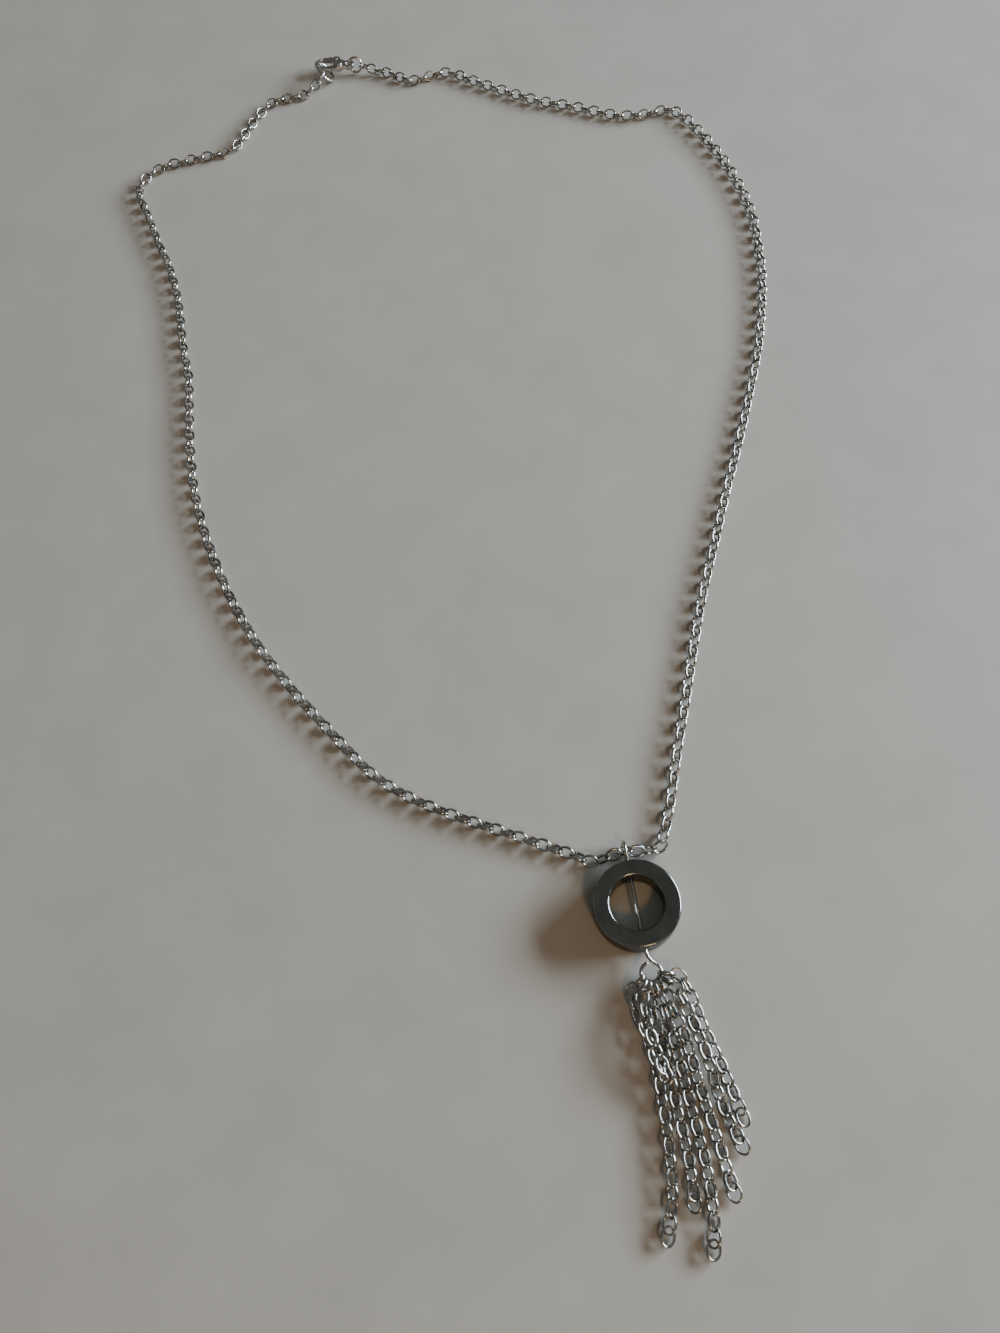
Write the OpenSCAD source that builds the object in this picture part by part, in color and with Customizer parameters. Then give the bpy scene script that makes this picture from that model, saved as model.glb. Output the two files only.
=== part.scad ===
// Tassel necklace, laid flat on a table: a fine cable chain with a lobster
// clasp, a ring bead on an eye pin, and seven chain strands on the pin's hook.
// Millimetres, Z up, X to the right, Y away from the tassel. The origin is the
// middle of the outline, on the table.

/* [Chain] */
// Length of one chain link, outside
link_long = 2.98; // [2.94:0.01:3]
// Width of one chain link, outside
link_wide = 2.3; // [2.2:0.02:2.34]
// Thickness of the wire of a link
link_wire = 0.35; // [0.3:0.01:0.36]
// Distance from one link to the next
link_pitch = 2.05; // [2:0.01:2.08]
// Lean of a link to either side, once the chain lies on the table
link_lean = 45; // [40:1:50]
// Thickness of the long chain stretches, which stand for the links there
chain_d = 1.9; // [1.6:0.05:1.9]

/* [Ring bead] */
// Outer diameter of the ring bead
bead_d = 14; // [13.6:0.1:14]
// Diameter of the hole in the ring bead
bead_hole_d = 8.7; // [8.2:0.1:9.2]
// Thickness of the ring bead
bead_h = 5; // [4.8:0.1:5.2]
// Radius of the ring bead's rounded edges
bead_edge = 0.4; // [0.3:0.05:0.6]
// Diameter of the bore for the eye pin, through both walls
bore_d = 1; // [0.8:0.05:1.2]

/* [Eye pin] */
// Thickness of the eye pin's wire
pin_wire = 0.6; // [0.5:0.02:0.6]
// Radius of the eye that the chain runs through, to the middle of the wire
eye_r = 1.6; // [1.6:0.01:1.64]
// Radius of the hook that carries the strands, to the middle of the wire
hook_r = 1.65; // [1.64:0.01:1.68]

/* [Clasp] */
// Length of the clasp from the eye's middle to the tip
clasp_long = 8.8; // [8.6:0.1:9]
// Width of the clasp
clasp_wide = 4.6; // [4.4:0.1:4.8]
// Thickness of the clasp's arm
arm_h = 1; // [0.9:0.05:1.1]
// Thickness of the clasp where the lever is held
cheek_h = 1.9; // [1.8:0.05:2]
// Diameter of the rivet
rivet_d = 0.7; // [0.6:0.02:0.7]
// Gap between the rivet and the lever, all round
rivet_gap = 0.05; // [0.03:0.01:0.08]

/* [Rings] */
// Outer diameter of the ring that the clasp hooks onto
hook_ring_d = 5.7; // [5.6:0.05:5.8]
// Thickness of that ring's wire
hook_ring_wire = 0.7; // [0.6:0.02:0.7]
// Outer diameter of the small ring at the chain's end
end_ring_d = 3.6; // [3.5:0.05:3.7]
// Outer diameter of the ring in the clasp's eye
tail_ring_d = 3.9; // [3.8:0.05:4]
// Thickness of the wire of those two rings
small_ring_wire = 0.6; // [0.5:0.02:0.6]

/* [Hidden] */

$fn = 48;
// Points round a link, and sides of its wire
link_points = 10;
link_sides = 5;
// Sides of the chain stretches and of the eye pin's wire
chain_sides = 8;
pin_sides = 8;
// Steps from one route point to the next where a route is smoothed
route_steps = 12;
// Half the length and half the width of a link, to the middle of the wire
link_a = (link_long - link_wire)/2;
link_b = (link_wide - link_wire)/2;
// Gap left between a link and the wire that it hangs on
hang_gap = 0.14;
// The first steps of a strand are a little shorter, where its links bunch up
// on the hook, and so is the first step on either side of the link in the eye
first_step_cut = 0.1;
loose_links = 3;
// The last step of a strand is shorter by this, where its end lies slack
end_step_cut = 0.5;
// Links on either side of the one in the eye
front_side_links = 3;
// The seams of the rings are open by this angle
seam_angle = 6;

// Places, as [x, y, z]
bead_at = [12.8, -86, 0];
pin_z = 2;
eye_at = [12.8, -76.85, pin_z];
hook_at = [13, -96.6, pin_z];
clasp_at = [-15.4, 132.9, 2.1];
clasp_turn = -14;
hook_ring_at = [-21.5, 131.35, 2.25];
end_ring_at = [-22.75, 128.7, 2.8];
tail_ring_at = [-13.8, 132.5, 2.1];
end_link_left_at = [-24.35, 127.35, 2.05];
end_link_right_at = [-11.65, 131.75, 1.8];

// Lean of each ring, and of the link next to the tail ring
hook_ring_lean = 48;
end_ring_lean = 135;
tail_ring_lean = 105;
end_link_right_lean = 20;

// Route of the chain's left side, from the clasp down to the bead
LEFT = [[-25.7, 126.3, 1.5], [-27.5, 125.6, 1.1], [-31.5, 125.5, 1], [-35.5, 124.8, 1],
    [-38.5, 122, 1], [-41, 118.5, 1], [-43, 115, 1], [-45, 111.5, 1],
    [-47.5, 109.5, 1], [-51, 109, 1], [-55, 109, 1], [-59, 108.5, 1],
    [-63, 108, 1], [-66.5, 106, 1], [-69, 103, 1], [-69.5, 99, 1],
    [-68, 94, 1], [-66.5, 88.5, 1], [-65, 82.5, 1], [-63, 76, 1],
    [-61.5, 69.5, 1], [-60.5, 62.5, 1], [-60, 55.5, 1], [-59.5, 48.5, 1],
    [-58.5, 40.5, 1], [-58.5, 31.5, 1], [-58.5, 22.5, 1], [-58, 12.5, 1],
    [-56.5, 2.5, 1], [-54, -7.5, 1], [-50.5, -18, 1], [-46, -28, 1],
    [-40.5, -37.5, 1], [-34.5, -46.5, 1], [-28, -55.5, 1], [-22, -61, 1],
    [-15, -65.5, 1], [-7.5, -69.5, 1], [0, -73.5, 1], [5, -76, 1]];
// Route of the chain's right side, from the clasp down to the bead
RIGHT = [[-10, 131, 1.5], [-8.2, 130.3, 1.1], [-5.5, 128.7, 1], [-3, 126.5, 1],
    [0, 124.5, 1], [4, 125, 1], [8, 125.5, 1], [11, 124, 1],
    [15, 120.5, 1], [20, 116.5, 1], [25, 112.5, 1], [30, 109, 1],
    [36, 106, 1], [41, 103, 1], [46, 100, 1], [51, 98.5, 1],
    [55, 98.5, 1], [59.5, 98.5, 1], [62, 95.5, 1], [64.5, 89.5, 1],
    [67, 81.5, 1], [68.5, 74.5, 1], [69.5, 66.5, 1], [69.5, 58.5, 1],
    [68.5, 50.5, 1], [67, 41.5, 1], [64, 31, 1], [60.5, 21, 1],
    [56, 10.5, 1], [51.5, 0.5, 1], [46.5, -10, 1], [41.5, -21, 1],
    [36.5, -32, 1], [32.5, -42, 1], [28.5, -52.5, 1], [25, -61.5, 1],
    [22.5, -68.5, 1], [20.2, -74, 1]];
// Routes of the links beside the eye, from the link in the eye outwards
FRONT_LEFT = [eye_at, [10.8, -77.1, 1.85], [8.7, -77.45, 1.4], [6.6, -77.25, 1.05],
    [4.5, -76.2, 1], [2.5, -74.8, 1]];
FRONT_RIGHT = [eye_at, [14.9, -77.15, 1.85], [18.6, -77, 1.25], [21.6, -74.8, 1]];

// Strands of the tassel: where the first link hangs on the hook and where it
// heads, both from straight down to the right, how far it rises, and the
// route after it
STRANDS = [
    [84, 74, -6, [[17, -97.5, 1.8], [18.2, -99.5, 1.2], [18.7, -102.5, 1],
        [19.4, -106.2, 1], [20.4, -110.2, 1], [21.2, -114, 1], [22.2, -119.5, 0.8]]],
    [57, 52, 14, [[16.1, -98.9, 2.8], [16.8, -101.1, 3.1], [17.4, -103.8, 3.1],
        [18.1, -107, 3], [18.7, -110.5, 2.7], [19.1, -114.2, 1.7],
        [19.6, -117.5, 1.1], [21.3, -123.2, 0.8]]],
    [31, 28, -13, [[14.6, -99.9, 1.4], [15.2, -102.5, 1.1], [16.1, -106, 1],
        [16.5, -110.4, 1], [16.9, -115, 1], [17.8, -122.5, 1], [18.5, -129.1, 0.8]]],
    [6, 4, 8, [[13.4, -100.6, 2.2], [13.7, -103, 1.8], [14.3, -106.5, 1.2],
        [14.6, -111, 1], [14.8, -116, 1], [15.2, -124.5, 1],
        [14.7, -131, 1], [13.3, -136.4, 0.8]]],
    [-20, -16, -14, [[12, -100.4, 1.3], [12.1, -102.8, 1], [12.5, -106.5, 1],
        [12.7, -111, 1], [12.7, -116, 1], [12.9, -123, 1], [12.4, -129.5, 0.8]]],
    [-75, -56, -15, [[9.5, -98.7, 1.1], [9.4, -100.7, 1], [9.9, -102.8, 1],
        [10.5, -106, 1], [10.9, -110, 1], [10.8, -114, 1], [10.5, -120, 1],
        [9.6, -127, 1], [7.5, -133, 0.8]]],
    [-46, -36, 13, [[10.8, -99.8, 2.8], [10.5, -101.8, 3.2], [10.6, -104, 3.4],
        [11, -106.5, 3.4], [11.5, -109, 3.2], [12, -112.2, 3]]]];
// Names of the columns of that table
ANGLE = 0;
HEADING = 1;
RISE = 2;
ROUTE = 3;
// Lean of the first links of a strand, from upright on the hook to the lean of
// the rest, and of its last links, from the free end on
FIRST_LEANS = [90, 78, 62, 50];
END_LEANS = [15, 28];

// Colours
STEEL = [0.72, 0.73, 0.74];
STONE = [0.16, 0.17, 0.17];

// Vectors and frames

function unit(v) = v/norm(v);

// The side of a direction that leans by an angle from level
function leaned(d, lean) =
    let (s = unit(cross(d, [0, 0, 1])))
    s*cos(lean) + cross(s, unit(d))*sin(lean);

// A rigid frame: along d, across by the lean, and at a place
function frame(at, d, lean) =
    let (x = unit(d), y = leaned(d, lean), z = cross(x, y))
    [[x[0], y[0], z[0], at[0]],
     [x[1], y[1], z[1], at[1]],
     [x[2], y[2], z[2], at[2]],
     [0, 0, 0, 1]];

// A direction in plan, from straight down the page towards the right
function bearing(angle, rise) =
    [sin(angle)*cos(rise), -cos(angle)*cos(rise), sin(rise)];

// Routes

function spline_point(a, b, c, d, t) =
    (2*b + (c - a)*t + (2*a - 5*b + 4*c - d)*t*t
        + (3*b - a - 3*c + d)*t*t*t)/2;

// A smooth curve through the points of a route
function smooth(p) =
    let (last = len(p) - 1,
        e = concat([2*p[0] - p[1]], p, [2*p[last] - p[last - 1]]))
    concat([for (i = [1:last], k = [0:route_steps - 1])
        spline_point(e[i - 1], e[i], e[i + 1], e[i + 2], k/route_steps)],
        [p[last]]);

// The running length at each point of a route
function lengths(p, i = 1, run = [0]) =
    i == len(p) ? run
    : lengths(p, i + 1, concat(run, [run[i - 1] + norm(p[i] - p[i - 1])]));

// The place at a distance along a route
function at_length(p, run, s) =
    [for (axis = [0:2]) lookup(s, [for (i = [0:len(p) - 1]) [run[i], p[i][axis]]])];

// The direction of a route at a distance along it
function heading(p, run, s) =
    let (back = min(max(s - 0.3, 0), run[len(run) - 1] - 0.6))
    unit(at_length(p, run, s + 0.3) - at_length(p, run, back));

// Directions of a path of points
function tangents(p) =
    [for (i = [0:len(p) - 1])
        unit(p[min(i + 1, len(p) - 1)] - p[max(i - 1, 0)])];

// One side direction per point, carried along the path without twisting
function carried(t, side, i = 0, out = []) =
    i == len(t) ? out
    : let (s = unit(side - (side*t[i])*t[i]))
        carried(t, s, i + 1, concat(out, [s]));

// Wires as meshes

// Two triangles for each side of each stretch between rings of points
function wall_faces(rings, sides, closed) =
    [for (i = [0:rings - (closed ? 1 : 2)], j = [0:sides - 1])
        let (k = (i + 1) % rings, m = (j + 1) % sides,
            a = i*sides + j, b = i*sides + m,
            c = k*sides + m, d = k*sides + j)
        each [[a, c, b], [a, d, c]]];

// A wire swept along a path of points
module wire(path, d, sides, side) {
    t = tangents(path);
    s = carried(t, side);
    points = [for (i = [0:len(path) - 1], j = [0:sides - 1])
        let (a = 360*j/sides)
        path[i] + d/2*(cos(a)*s[i] + sin(a)*cross(t[i], s[i]))];
    last = (len(path) - 1)*sides;
    polyhedron(points, concat(wall_faces(len(path), sides, false),
        [for (j = [1:sides - 2]) [0, j, j + 1]],
        [for (j = [1:sides - 2]) [last, last + j + 1, last + j]]));
}

// An oval link: its middle, its long direction and its lean
module link(at, d, lean) {
    x = unit(d);
    y = leaned(d, lean);
    z = cross(x, y);
    points = [for (i = [0:link_points - 1], j = [0:link_sides - 1])
        let (a = 360*i/link_points, b = 360*j/link_sides,
            out = unit(link_b*cos(a)*x + link_a*sin(a)*y))
        at + link_a*cos(a)*x + link_b*sin(a)*y
            + link_wire/2*(cos(b)*out - sin(b)*z)];
    polyhedron(points, wall_faces(link_points, link_sides, true));
}

// A round wire ring with its seam on the far side
module wire_ring(at, d, lean, outer_d, wire_d) {
    multmatrix(frame(at, d, lean))
        rotate([0, 0, seam_angle/2])
            rotate_extrude(angle = 360 - seam_angle)
                translate([(outer_d - wire_d)/2, 0])
                    circle(d = wire_d);
}

// Chain and tassel

// One side of the links that run through the eye
module front_side(route, lean) {
    p = smooth(route);
    run = lengths(p);
    for (k = [1:front_side_links])
        let (s = k*link_pitch - first_step_cut)
        link(at_length(p, run, s), heading(p, run, s), lean + 90*k);
}

module chain_front() {
    color(STEEL) {
        front_side(FRONT_LEFT, 180 - link_lean);
        front_side(FRONT_RIGHT, link_lean);
        link(eye_at, [1, 0, 0], link_lean);
    }
}

module chain_left() {
    color(STEEL) wire(LEFT, chain_d, chain_sides, [0, 0, 1]);
}

module chain_right() {
    color(STEEL) wire(RIGHT, chain_d, chain_sides, [0, 0, 1]);
}

module end_link_left() {
    color(STEEL) link(end_link_left_at, LEFT[0] - end_ring_at, link_lean);
}

module end_link_right() {
    color(STEEL) link(end_link_right_at, RIGHT[0] - tail_ring_at, end_link_right_lean);
}

// The lean of a strand's link, by its number
function strand_lean(k, count) =
    let (left = count - 1 - k)
    left < len(END_LEANS)
        ? (k % 2 == 0 ? END_LEANS[left] : 180 - END_LEANS[left])
        : (k < len(FIRST_LEANS) ? FIRST_LEANS[k] : link_lean) + 90*(k % 2);

// How far the middle of the hook's wire lies from the middle of a link's wire
// that hangs on it, for a link that heads off by an angle from square
function hang(off) =
    let (room = hook_r - pin_wire/2 - link_wire/2 - hang_gap)
    hook_r*cos(off) - sqrt(pow(room, 2) - pow(hook_r*sin(off), 2));

module strand(row) {
    d = bearing(row[HEADING], row[RISE]);
    reach = link_a - hang(row[ANGLE] - row[HEADING]);
    start = hook_at + hook_r*bearing(row[ANGLE], 0) + reach*d;
    p = smooth(concat([start], row[ROUTE]));
    run = lengths(p);
    slack = loose_links*first_step_cut;
    count = floor((run[len(run) - 1] + slack)/link_pitch + 0.02) + 1;
    link(start, d, strand_lean(0, count));
    for (k = [1:count - 1])
        let (s = k*link_pitch - first_step_cut*min(k, loose_links)
                - (k == count - 1 ? end_step_cut : 0))
        link(at_length(p, run, s), heading(p, run, s), strand_lean(k, count));
}

module strand_1() { color(STEEL) strand(STRANDS[0]); }
module strand_2() { color(STEEL) strand(STRANDS[1]); }
module strand_3() { color(STEEL) strand(STRANDS[2]); }
module strand_4() { color(STEEL) strand(STRANDS[3]); }
module strand_5() { color(STEEL) strand(STRANDS[4]); }
module strand_6() { color(STEEL) strand(STRANDS[5]); }
module strand_7() { color(STEEL) strand(STRANDS[6]); }

// Bead and pin

module rounded_section(w, h, r) {
    translate([r, 0]) square([w - 2*r, h]);
    translate([0, r]) square([w, h - 2*r]);
    for (x = [r, w - r], y = [r, h - r])
        translate([x, y]) circle(r = r);
}

module ring_bead() {
    color(STONE) difference() {
        translate(bead_at)
            rotate_extrude($fn = 96)
                translate([bead_hole_d/2, 0])
                    rounded_section((bead_d - bead_hole_d)/2, bead_h, bead_edge);
        translate(bead_at + [0, bead_d, bead_h/2])
            rotate([90, 0, 0])
                cylinder(d = bore_d, h = 2*bead_d);
    }
}

// The pin's wire: round the upright eye, down through the bead, and round
// the level hook to its free tip
bend_step = 20;
// Where the eye's wire starts and ends, up from the far side, and the hook's,
// from straight up the page towards the right
EYE_TURN = [-170, 130];
HOOK_TURN = [45, 345];
// How the wire runs off the eye to the bead's middle height, as [along the pin,
// up] from the eye's middle, and from there down onto the hook, as [x, y, up]
shaft_rise = bead_h/2 - pin_z;
EYE_BEND = [[-1.42, 0.38 + shaft_rise], [-1.75, 0.14 + shaft_rise],
    [-2.1, 0.03 + shaft_rise], [-2.45, shaft_rise]];
HOOK_BEND = [[12.8, -93.3, shaft_rise], [12.95, -94, 0.6*shaft_rise],
    [13.4, -94.75, 0.2*shaft_rise]];
PIN_PATH = concat(
    [for (a = [EYE_TURN[0]:bend_step:EYE_TURN[1]])
        eye_at + eye_r*[0, cos(a), sin(a)]],
    [for (b = EYE_BEND) eye_at + [0, b[0], b[1]]],
    [for (b = HOOK_BEND) [b[0], b[1], pin_z + b[2]]],
    [for (a = [HOOK_TURN[0]:bend_step:HOOK_TURN[1]])
        hook_at + hook_r*[sin(a), cos(a), 0]]);

module eye_pin() {
    color(STEEL) wire(PIN_PATH, pin_wire, pin_sides, [1, 0, 0]);
}

// Clasp, drawn with its eye at the origin, its tip towards -X and its lever
// on the +Y side

// Points round the outline, and round the oval window
clasp_steps = 48;
// The eye's wall and hole
eye_wall_d = 2.7;
eye_hole_d = 1.5;
// The cheeks that hold the lever, and the foot that joins them to the arm
RIVET = [-3.3, 0.95];
cheek_r = 1.15;
CHEEK_FOOT = [-2.7, -0.4];
cheek_foot_r = 1.1;
// How far the rivet's ends stand out
rivet_head = 0.12;
// The slot between the cheeks, and the lever's root that turns in it
slot_h = 0.9;
lever_root_h = 0.7;
lever_root_r = 0.8;
// How far the lever's root runs out before its full thickness starts
lever_neck_r = 2;
// From the rivet to the lever's tip, and its gap to the hook's nose
lever_tip_r = 3.75;
tip_gap = 0.12;
// The oval window that the ring lies in
WINDOW = [-6.05, 0];
window_a = 2.2;
window_b = 1.25;
// The lever closes the outline from here on, towards +Y
gate_from = 0.3;
// The small thumb piece on the lever's outer side
THUMB = [-5.1, 2.2];
thumb_d = 1.1;

// The outline, wide at the hook and narrow at the eye
function clasp_outline() =
    [for (i = [0:clasp_steps - 1])
        let (a = 360*i/clasp_steps)
        [-clasp_long/2 + clasp_long/2*cos(a),
         clasp_wide/2*sin(a)*(0.84 - 0.2*cos(a) + 0.1*sin(a)*sin(a))]];

module clasp_window() {
    polygon([for (i = [0:clasp_steps - 1])
        let (a = 360*i/clasp_steps)
        WINDOW + [window_a*cos(a), window_b*sin(a)]]);
}

// The stretch of the outline that the lever closes
module gate_zone(reach) {
    intersection() {
        translate(RIVET) circle(r = reach);
        translate([-clasp_long, gate_from])
            square([clasp_long + RIVET[0], clasp_wide]);
    }
}

module slab(h) {
    translate([0, 0, -h/2]) linear_extrude(h) children();
}

// Places a clasp piece in the necklace
module clasp_place() {
    translate(clasp_at) rotate([0, 0, clasp_turn]) children();
}

module clasp_body() {
    color(STEEL) clasp_place() {
        difference() {
            union() {
                slab(arm_h) difference() {
                    polygon(clasp_outline());
                    clasp_window();
                    gate_zone(lever_tip_r + tip_gap);
                }
                slab(arm_h) circle(d = eye_wall_d);
                slab(cheek_h) translate(RIVET) circle(r = cheek_r);
                slab(cheek_h) translate(CHEEK_FOOT) circle(r = cheek_foot_r);
            }
            slab(slot_h) translate(RIVET) circle(r = cheek_r + tip_gap);
            slab(slot_h) gate_zone(lever_tip_r);
            cylinder(d = eye_hole_d, h = 2*cheek_h, center = true);
        }
        translate([RIVET[0], RIVET[1], -cheek_h/2 - rivet_head])
            cylinder(d = rivet_d, h = cheek_h + 2*rivet_head);
    }
}

module clasp_lever() {
    color(STEEL) clasp_place() difference() {
        union() {
            slab(lever_root_h) translate(RIVET) circle(r = lever_root_r);
            slab(lever_root_h) intersection() {
                polygon(clasp_outline());
                gate_zone(lever_neck_r);
            }
            slab(arm_h) difference() {
                intersection() {
                    polygon(clasp_outline());
                    gate_zone(lever_tip_r);
                }
                clasp_window();
                translate(RIVET) circle(r = cheek_r + tip_gap);
            }
            slab(lever_root_h) translate(THUMB) circle(d = thumb_d);
        }
        translate([RIVET[0], RIVET[1], 0])
            cylinder(d = rivet_d + 2*rivet_gap, h = 2*cheek_h, center = true);
    }
}

// Rings

module hook_ring() {
    color(STEEL)
        wire_ring(hook_ring_at, [0, -1, 0], hook_ring_lean, hook_ring_d,
            hook_ring_wire);
}

module end_ring() {
    color(STEEL)
        wire_ring(end_ring_at, end_link_left_at - end_ring_at, end_ring_lean,
            end_ring_d, small_ring_wire);
}

module tail_ring() {
    color(STEEL)
        wire_ring(tail_ring_at, [cos(clasp_turn), sin(clasp_turn), 0],
            tail_ring_lean, tail_ring_d, small_ring_wire);
}

clasp_body();
clasp_lever();
hook_ring();
end_ring();
tail_ring();
end_link_left();
end_link_right();
chain_left();
chain_right();
chain_front();
ring_bead();
eye_pin();
strand_1();
strand_2();
strand_3();
strand_4();
strand_5();
strand_6();
strand_7();
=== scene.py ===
import math
import random

import bmesh
import bpy
from mathutils import Matrix, Vector


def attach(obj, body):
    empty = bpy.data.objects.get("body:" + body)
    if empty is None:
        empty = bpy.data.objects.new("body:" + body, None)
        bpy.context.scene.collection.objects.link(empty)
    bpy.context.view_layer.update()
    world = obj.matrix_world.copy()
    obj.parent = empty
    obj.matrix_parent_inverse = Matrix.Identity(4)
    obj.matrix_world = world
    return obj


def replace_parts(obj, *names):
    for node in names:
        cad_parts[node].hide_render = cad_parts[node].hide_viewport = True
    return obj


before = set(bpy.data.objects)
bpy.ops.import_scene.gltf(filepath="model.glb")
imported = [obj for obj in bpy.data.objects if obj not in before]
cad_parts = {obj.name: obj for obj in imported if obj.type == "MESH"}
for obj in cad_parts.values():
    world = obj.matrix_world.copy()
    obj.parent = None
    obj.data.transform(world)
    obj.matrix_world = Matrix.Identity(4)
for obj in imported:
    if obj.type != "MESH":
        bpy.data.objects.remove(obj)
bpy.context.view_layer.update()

# Sizes and places are in millimetres, as in the part's source, and meshes are
# made in metres.
MM = 0.001

# Camera: its place, its tilt down from level and its roll in degrees, its lens and
# sensor, and its clipping in metres
CAMERA_AT = (-2.5, -116.5, 165.1)
CAMERA_TILT = 64.9
CAMERA_ROLL = -9.4
CAMERA_LENS = 27.0
CAMERA_SENSOR = 36
CAMERA_CLIP = (0.01, 10)

# Chain links: outside length and width, and the flattened wire's thickness in
# the link's plane and across it
LINK_LONG = 2.98
LINK_WIDE = 2.3
LINK_THICK = 0.34
LINK_BROAD = 0.58
# Where the wire's broad face starts to round off and how much of the wire is left
# there, then the same of its narrow edge, as shares of half the wire
FACE_SHARE = 0.68
FACE_KEPT = 0.93
EDGE_SHARE = 0.6
EDGE_KEPT = 0.84
LINK_STEPS = 36
LINK_PITCH = 2.05
# Leans of the links, in degrees, and how far the lean and heading of a link that
# lies on the table stray
LINK_LEAN = 45
STRAND_LEAN = 36
LEAN_STRAY = 5
TURN_STRAY = 1.5
# Links at either end of a side over which the straying fades
CALM_LINKS = 4
# Links of the front stretch on either side of the eye
FRONT_SIDE_LINKS = 3
# The first steps from the hook, and the first one from the eye, are shorter than
# the pitch by FIRST_STEP_CUT, and a strand's last step lies slack
FIRST_STEP_CUT = 0.1
SHORT_STEPS = 3
END_STEP_CUT = 0.5
# How much of a step a strand's route may lack for its last link
COUNT_SLACK = 0.02
# Points of a smooth curve from one point of a route to the next, and how far to
# either side a route's heading is taken
ROUTE_STEPS = 12
HEADING_REACH = 0.3

# Ring bead, with the radius of its edges and the bore that the pin runs through
BEAD_AT = Vector((12.8, -86, 0))
BEAD_D = 14
BEAD_HOLE_D = 8.7
BEAD_H = 5
BEAD_EDGE = 0.4
BORE_D = 1
BORE_STEPS = 32
BEAD_STEPS = 160
BEAD_EDGE_STEPS = 8
# A narrow flat band at each end of a rounded edge keeps the faces flat
FLAT_BAND = 0.05
# Edges of the bead that turn by more than this are shaded sharp
BEAD_SHARP = math.radians(40)

# Eye pin
PIN_WIRE = 0.6
PIN_Z = 2
EYE_AT = Vector((12.8, -76.85, PIN_Z))
EYE_R = 1.6
HOOK_AT = Vector((13, -96.6, PIN_Z))
HOOK_R = 1.65
# The pin rises to the bead's middle height in between. Its wire runs off the eye
# through points of [Y from the eye, Z from that height], and down onto the hook
# through points of [X, Y, share of the rise].
SHAFT_RISE = BEAD_H/2 - PIN_Z
EYE_BEND = [(-1.42, 0.38), (-1.75, 0.14), (-2.1, 0.03), (-2.45, 0)]
HOOK_BEND = [(12.8, -93.3, 1), (12.95, -94, 0.6), (13.4, -94.75, 0.2)]
# Degrees through which the wire turns in the eye and in the hook
EYE_SWEEP = (-170, 130)
HOOK_SWEEP = (45, 345)
PIN_STEPS = 50
PIN_SIDES = 20
# The rounded ends of a wire, as [how far out, how wide], in radii of the wire
WIRE_END = [(0.8, 0.5), (0.5, 0.85)]
# Wire of the solid links, and how clear a strand's first link hangs
SOLID_WIRE = 0.35
HANG_GAP = 0.14

# Clasp, with its eye at the origin, its tip towards -X and its lever at +Y
CLASP_AT = Vector((-15.4, 132.9, 2.1))
CLASP_TURN = -14
CLASP_LONG = 8.8
CLASP_WIDE = 4.6
# The outline's width as a share of CLASP_WIDE: all along, less towards the eye and
# more at the hook, and more in the middle
OUTLINE_WIDTH = 0.84
OUTLINE_TAPER = 0.2
OUTLINE_SWELL = 0.1
# Heights of the arm, of both cheeks with the slot between them, and of the slot
ARM_H = 1
CHEEK_H = 1.9
SLOT_H = 0.9
RIVET = Vector((-3.3, 0.95))
RIVET_D = 0.7
RIVET_HEAD = 0.12
RIVET_ROUND = 0.08
CHEEK_R = 1.15
CHEEK_FOOT = Vector((-2.7, -0.4))
CHEEK_FOOT_R = 1.1
EYE_WALL_D = 2.7
EYE_HOLE_D = 1.5
# The oval window inside the hook
WINDOW = Vector((-6.05, 0))
WINDOW_A = 2.2
WINDOW_B = 1.25
# The lever closes the hook from this height on, and the arm ends this close to the
# rivet, under the cheeks
GATE_FROM = 0.3
ARM_END = 0.3
# How far from the rivet the lever starts, its root between the cheeks ends and its
# tip ends, and the tip's gap to the hook's nose
LEVER_START_R = 1.3
LEVER_NECK_R = 2
LEVER_TIP_R = 3.75
TIP_GAP = 0.12
LEVER_ROOT_R = 0.8
LEVER_ROOT_H = 0.7
THUMB = Vector((-5.1, 2.2))
THUMB_D = 1.1
# Stretches of the outline and of the window that the body and the lever take up,
# in degrees from the eye's side, and the steps round them
BODY_SWEEP = (95, 430)
BODY_STEPS = 200
BODY_WINDOW_SWEEP = (0, -260)
BODY_WINDOW_STEPS = 160
LEVER_SWEEP = (60, 175)
LEVER_WINDOW_SWEEP = (175, 5)
LEVER_STEPS = 120
EYE_STEPS = 40
CIRCLE_STEPS = 40
RIVET_STEPS = 24
# Rounded edges of the plates. A corner that turns by more than SHARP_CORNER is
# sharp, and other points keep away from it by CORNER_REACH edge radii.
CLASP_ROUND = 0.16
ROUND_STEPS = 3
SHARP_CORNER = math.radians(30)
CORNER_REACH = 1.6
# Edges of the clasp that turn by more than this are shaded sharp
CLASP_SHARP = math.radians(50)

# End links of the chain
END_LINK_LEFT_AT = Vector((-24.35, 127.35, 2.05))
END_LINK_RIGHT_AT = Vector((-11.65, 131.75, 1.8))
END_LINK_RIGHT_LEAN = 20

# Rings, as [place, along, lean, outer diameter, wire]
END_RING_AT = Vector((-22.75, 128.7, 2.8))
TAIL_RING_AT = Vector((-13.8, 132.5, 2.1))
CLASP_ALONG = Vector((math.cos(math.radians(CLASP_TURN)),
                      math.sin(math.radians(CLASP_TURN)), 0))
RINGS = {
    "hook_ring": [Vector((-21.5, 131.35, 2.25)), Vector((0, -1, 0)), 48, 5.7, 0.7],
    "end_ring": [END_RING_AT, END_LINK_LEFT_AT - END_RING_AT, 135, 3.6, 0.6],
    "tail_ring": [TAIL_RING_AT, CLASP_ALONG, 105, 3.9, 0.6],
}
# Half of the seam between the ends of a ring's wire, in degrees
SEAM_ANGLE = 3
RING_STEPS = 72
RING_SIDES = 18

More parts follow.
